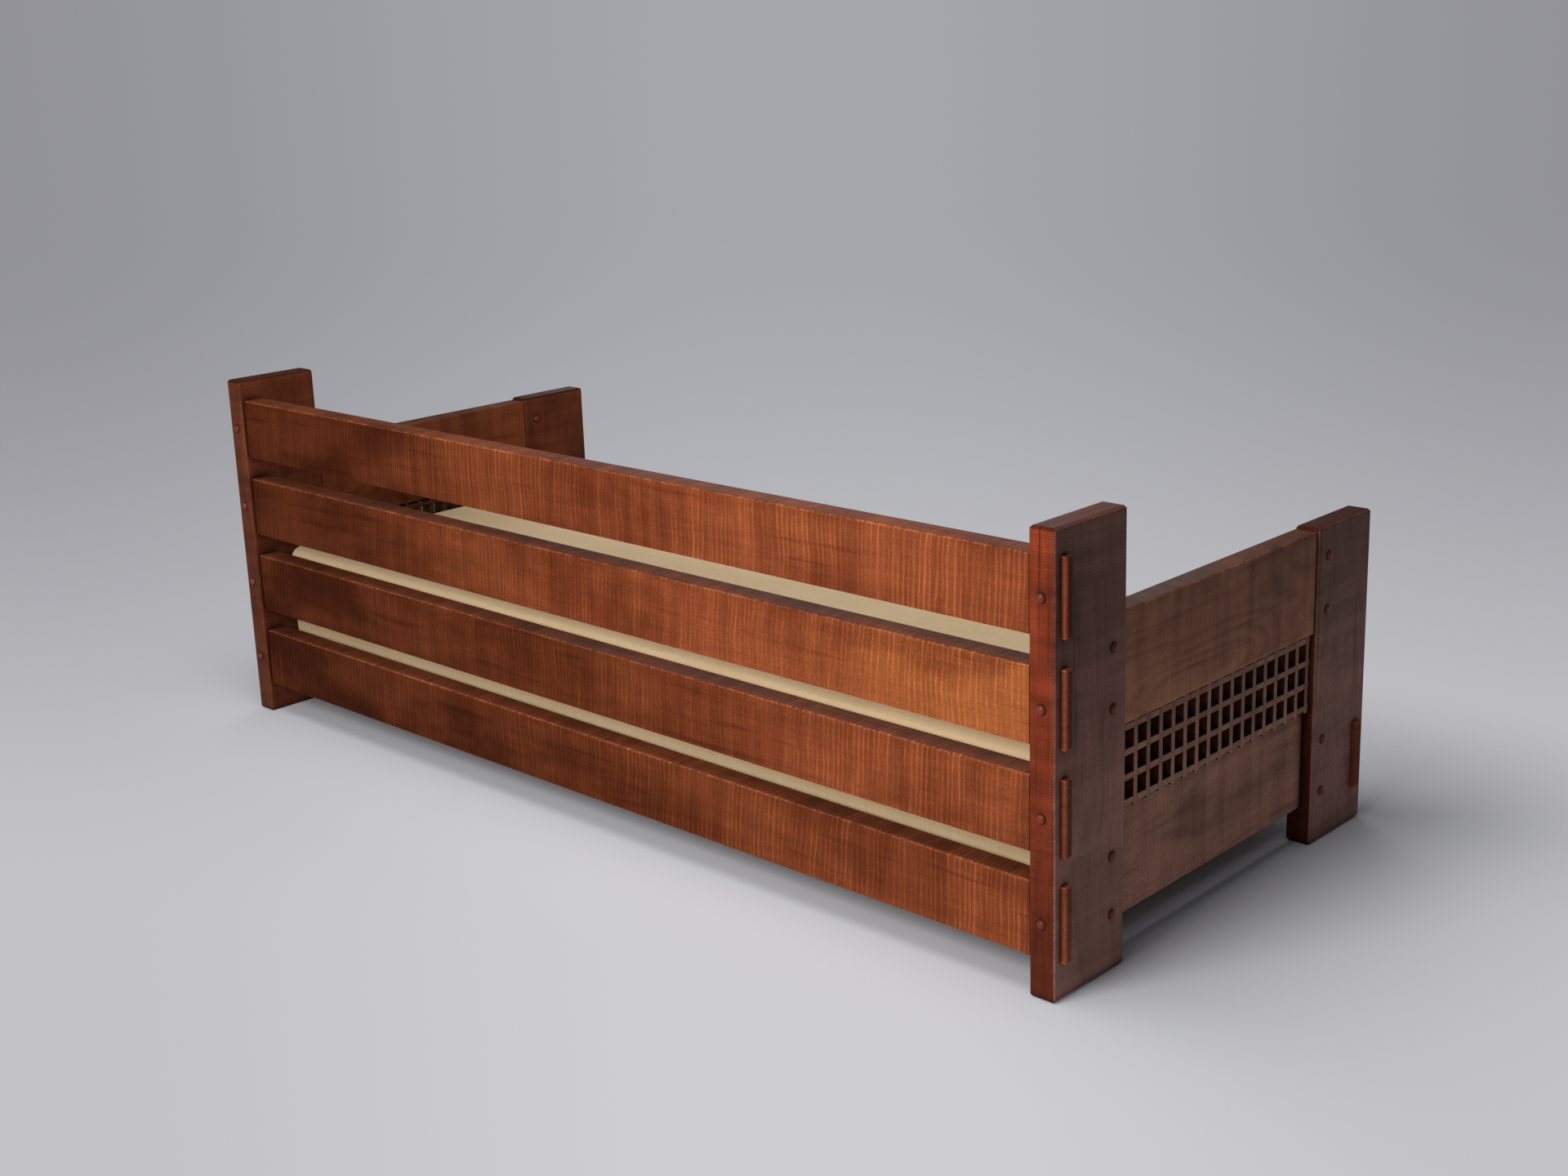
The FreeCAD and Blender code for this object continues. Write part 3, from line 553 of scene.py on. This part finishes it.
def swell(piece, still, pressure=4.0, cap=0.011, draw_in=0.003):
    """Blows the cover up by a cloth simulation, with the points in still held in place."""
    start = read_points(piece.data)
    group = piece.vertex_groups.new(name="still")
    group.add([int(k) for k in np.nonzero(still(start))[0]], 1.0, "REPLACE")
    cloth = piece.modifiers.new("cloth", "CLOTH")
    cloth.settings.quality = 5
    cloth.settings.mass = 0.4
    cloth.settings.tension_stiffness = cloth.settings.compression_stiffness = 25
    cloth.settings.bending_stiffness = 1.5
    cloth.settings.vertex_group_mass = "still"
    cloth.settings.use_pressure = True
    cloth.settings.uniform_pressure_force = pressure
    cloth.settings.effector_weights.gravity = 0
    cloth.collision_settings.use_collision = False
    cloth.point_cache.frame_start, cloth.point_cache.frame_end = 1, FRAMES
    for number in range(1, FRAMES + 1):
        scene.frame_set(number)
    shape = piece.evaluated_get(bpy.context.evaluated_depsgraph_get())
    move = read_points(shape.data) - start
    piece.modifiers.remove(cloth)
    piece.vertex_groups.clear()
    scene.frame_set(1)
    length = np.linalg.norm(move, axis=1, keepdims=True)
    move *= np.minimum(1.0, cap / np.maximum(length, 1e-9))
    outward = np.sign(start - start.mean(0))
    return start + outward * np.maximum(move * outward, -draw_in)


cover_low, cover_high = (np.array(corner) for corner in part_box("seat_cover"))
low = cover_low + np.array((SIDE_SLACK, SIDE_SLACK, FOOT_GAP))
high = cover_high - np.array((SIDE_SLACK, SIDE_SLACK, TOP_SLACK))
mesh = cushion_mesh("seat_cushion", tuple(low), tuple(high), CORNER_RADII, GRID_STEP)
cushion = bpy.data.objects.new("seat_cushion", mesh)
scene.collection.objects.link(cushion)
points = swell(cushion, lambda p: p[:, 2] < low[2] + STILL_HEIGHT)

# The filling keeps the cover full, the boards beside it keep it flat, and the seam draws it in
CREASE_HEIGHT = 0.0030
CREASE_DROP = 0.0010
SEAM_WIDTH = 0.006
SEAM_DEPTH = 0.0035
middle = (cover_low + cover_high) / 2
half = (cover_high - cover_low) / 2
reach = np.abs(points - middle) / half
creases = np.array([noise.noise((x * 7 + y * 5, y * 15 - x * 4, 2.0))
                    + 0.6 * noise.noise((x * 15 - y * 9, y * 22 + x * 6, 7.0)) for x, y, _ in points])
edge = np.exp(-((1 - reach[:, 1]) * half[1] / 0.10) ** 2)
upper = np.clip((points[:, 2] - cover_high[2] + 0.05) / 0.04, 0, 1)
points[:, 2] += upper * (CREASE_HEIGHT * creases * (0.7 + 0.3 * edge) - CREASE_DROP)
seam = np.exp(-((points[:, 2] - SEAM) / SEAM_WIDTH) ** 2)
for k in (0, 1):
    outside = np.clip((reach[:, k] - 0.94) / 0.05, 0, 1)
    points[:, k] -= np.sign(points[:, k] - middle[k]) * seam * outside * SEAM_DEPTH
room_low = cover_low + np.array((-0.0015, -0.0015, 0.0003))
room_high = cover_high + np.array((0.0015, 0.0015, 0.004))
points = np.clip(points, room_low, room_high)
mesh.vertices.foreach_set("co", points.ravel())
mesh.update()
smooth = cushion.modifiers.new("smooth", "SUBSURF")
smooth.levels = smooth.render_levels = 1
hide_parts("seat_cover", "seat_filling")
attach(cushion, "seat")

# Canvas: a plain weave with slubs, and two rows of stitches along the seam, with painted shade in the
# weave's gaps and in the seam's groove
STITCH = 0.0042
STITCH_ROW = 0.005
material, graph, shader = new_material("canvas")
flat = graph.put("ShaderNodeUVMap", uv_map="weave").outputs["UV"]
u, v, _ = graph.split(flat)
turn = 2 * math.pi / WEAVE
over = graph.times(graph.math("SINE", graph.times(u, turn)), graph.math("SINE", graph.times(v, turn)))
warp = graph.noise(graph.stretch(flat, 1 / WEAVE, 9.0, 1.0))
weft = graph.noise(graph.stretch(flat, 9.0, 1 / WEAVE, 1.0))
slub = graph.smooth(graph.times(graph.add(warp, weft), 0.5), 0.36, 0.64)
wash = graph.smooth(graph.noise(graph.stretch(flat, 3.0, 5.0, 1.0), 3.0), 0.30, 0.70)
colour = graph.mix(wash, srgb(226, 190, 140), srgb(235, 201, 153))
colour = graph.mix(graph.times(slub, 0.5), colour, srgb(238, 220, 184))
# Painted shade in the gaps between the threads
colour = graph.mix(graph.smooth(over, -0.9, 0.2, 0.55, 0.0), colour, srgb(162, 136, 98))
off_seam = graph.math("ABSOLUTE", graph.math("SUBTRACT", v, BORDER + SEAM))
off_row = graph.math("ABSOLUTE", graph.math("SUBTRACT", off_seam, STITCH_ROW))
beat = graph.math("SINE", graph.times(u, 2 * math.pi / STITCH))
stitch = graph.times(graph.smooth(off_row, 0.0004, 0.0009, 1.0, 0.0), graph.smooth(beat, -0.35, 0.1))
colour = graph.mix(graph.times(stitch, 0.8), colour, srgb(228, 214, 184))
# Painted shade in the seam's groove
groove = graph.smooth(off_seam, 0.0004, 0.0016, 1.0, 0.0)
colour = graph.mix(graph.times(groove, 0.6), colour, srgb(120, 100, 70))
shader.inputs["Base Color"].default_value = srgb(204, 184, 147)
graph.feed(shader.inputs["Base Color"], colour)
graph.feed(shader.inputs["Roughness"], graph.smooth(slub, 0.0, 1.0, 0.94, 0.84))
shader.inputs["Specular IOR Level"].default_value = 0.2
shader.inputs["Sheen Weight"].default_value = 0.08
shader.inputs["Sheen Roughness"].default_value = 0.5
relief = graph.add(graph.times(over, 0.35), graph.times(slub, 0.5), graph.times(stitch, 0.9),
                   graph.times(groove, -1.2))
bump = graph.put("ShaderNodeBump", {"Strength": 0.55, "Distance": 0.0005, "Height": relief})
graph.feed(shader.inputs["Normal"], bump.outputs[0])
mesh.materials.append(material)


# Floor and backdrop: the photographer's place and level line of sight, and the greys from there
EYE = (-2.6002, 2.5905, 1.3973)
AHEAD = (0.685, -0.728)
FAR_MIDDLE, FAR_SIDE = srgb(165, 166, 171), srgb(146, 146, 152)
NEAR_MIDDLE, NEAR_SIDE = srgb(207, 206, 211), srgb(196, 195, 200)


def seen_ray(graph):
    """1 for a ray that ends in the picture, straight, mirrored or through glass, and 0 for light."""
    path = graph.put("ShaderNodeLightPath").outputs
    return graph.math("MAXIMUM", path["Is Camera Ray"],
                      graph.math("MAXIMUM", path["Is Glossy Ray"], path["Is Transmission Ray"]))


def sideways(graph, x, y, least, behind):
    """The run of (x, y) along the line of sight, and 1 where it lies far aside or behind."""
    run = graph.math("MAXIMUM", graph.add(graph.times(x, AHEAD[0]), graph.times(y, AHEAD[1])), least)
    aside = graph.add(graph.times(x, AHEAD[1]), graph.times(y, -AHEAD[0]))
    edge = graph.smooth(graph.math("ABSOLUTE", graph.math("DIVIDE", aside, run)), 0.02, 0.42)
    return run, graph.math("MAXIMUM", edge, graph.smooth(run, *behind))


bpy.ops.mesh.primitive_circle_add(vertices=96, radius=60, fill_type="NGON", location=(0, 0, -0.0004))
floor = bpy.context.object
floor.name = "floor"
material, graph, shader = new_material("floor")
graph.tree.nodes.remove(shader)
x, y, _ = graph.split(graph.put("ShaderNodeNewGeometry").outputs["Position"])
run, edge = sideways(graph, graph.add(x, -EYE[0]), graph.add(y, -EYE[1]), 1.0, (2.2, 1.2))
# Painted light for rays that end in the picture: brighter near the eye and in the middle of the view,
# darker far off and to the sides
near = graph.smooth(graph.math("DIVIDE", EYE[2], run), 0.09, 0.47)
painted_glow = graph.mix(near, graph.mix(edge, FAR_MIDDLE, FAR_SIDE), graph.mix(edge, NEAR_MIDDLE, NEAR_SIDE))
painted = graph.put("ShaderNodeEmission", {"Color": painted_glow}).outputs[0]

# Near the sofa the floor is lit, so that it takes the shadow, and deep beneath the seat painted shade
# darkens it
size_x, size_y = graph.math("ABSOLUTE", x), graph.math("ABSOLUTE", y)
painted_shade_under = graph.times(graph.smooth(size_y, 0.20, 0.32, 1.0, 0.0), graph.smooth(size_x, 0.60, 1.04, 1.0, 0.0))
floor_colour_with_painted_shade = graph.mix(painted_shade_under, srgb(209, 210, 215), srgb(92, 89, 89))
lit = graph.put("ShaderNodeBsdfDiffuse", {"Color": floor_colour_with_painted_shade}).outputs[0]
gap_x = graph.math("MAXIMUM", graph.add(size_x, -1.06), 0.0)
behind = graph.math("MAXIMUM", graph.add(y, -0.30), 0.0)
before = graph.math("MAXIMUM", graph.add(graph.times(y, -1.0), -0.46), 0.0)
gap_y = graph.add(graph.times(behind, 1.5), before)
gap = graph.math("SQRT", graph.add(graph.times(gap_x, gap_x), graph.times(gap_y, gap_y)))
share = graph.times(graph.smooth(gap, 0.02, 0.75), seen_ray(graph))
blend = graph.put("ShaderNodeMixShader", {0: share, 1: lit, 2: painted})
graph.feed(graph.tree.nodes["Material Output"].inputs["Surface"], blend.outputs[0])
floor.data.materials.append(material)

world = bpy.data.worlds.new("studio")
scene.world = world
world.use_nodes = True
graph = Graph(world.node_tree)
x, y, _ = graph.split(graph.put("ShaderNodeTexCoord").outputs["Generated"])
_, edge = sideways(graph, x, y, 0.05, (0.4, 0.1))
# Painted shade darkens the backdrop seen in the picture towards the sides; light rays see a dimmer plain
# grey
backdrop = graph.mix(seen_ray(graph), srgb(100, 101, 104), graph.mix(edge, FAR_MIDDLE, FAR_SIDE))
graph.feed(world.node_tree.nodes["Background"].inputs["Color"], backdrop)


def soft_light(name, place, aim, width, height, watts):
    lamp = bpy.data.lights.new(name, "AREA")
    lamp.shape = "RECTANGLE"
    lamp.size, lamp.size_y = width, height
    lamp.energy = watts
    made = bpy.data.objects.new(name, lamp)
    made.location = place
    made.rotation_mode = "QUATERNION"
    made.rotation_quaternion = (Vector(aim) - Vector(place)).to_track_quat("-Z", "Y")
    made.visible_camera = False
    scene.collection.objects.link(made)


soft_light("key", (-0.45, 2.9, 1.7), (-0.1, 0.3, 0.3), 1.6, 1.5, 76)
soft_light("top", (-0.3, 0.9, 3.2), (-0.2, 0.4, 0), 2.0, 1.6, 42)
soft_light("fill", (2.4, -3.2, 1.4), (0, 0, 0.3), 2.5, 1.5, 52)

# Camera
AZIMUTH, ELEVATION, ROLL = (math.radians(v) for v in (-136.745, 14.689, -1.771))
back = Vector((math.sin(AZIMUTH) * math.cos(ELEVATION), -math.cos(AZIMUTH) * math.cos(ELEVATION),
               math.sin(ELEVATION)))
level = (-back).cross(Vector((0, 0, 1))).normalized()
upright = level.cross(-back)
right = math.cos(ROLL) * level + math.sin(ROLL) * upright
up = math.cos(ROLL) * upright - math.sin(ROLL) * level
camera = bpy.data.objects.new("camera", bpy.data.cameras.new("camera"))
camera.data.sensor_fit = "HORIZONTAL"
camera.data.sensor_width = 36
camera.data.lens = 45.506
camera.data.shift_x, camera.data.shift_y = -0.01706, -0.03072
turned = Matrix((right, up, back)).transposed().to_4x4()
camera.matrix_world = Matrix.Translation(EYE) @ turned
scene.collection.objects.link(camera)
scene.camera = camera
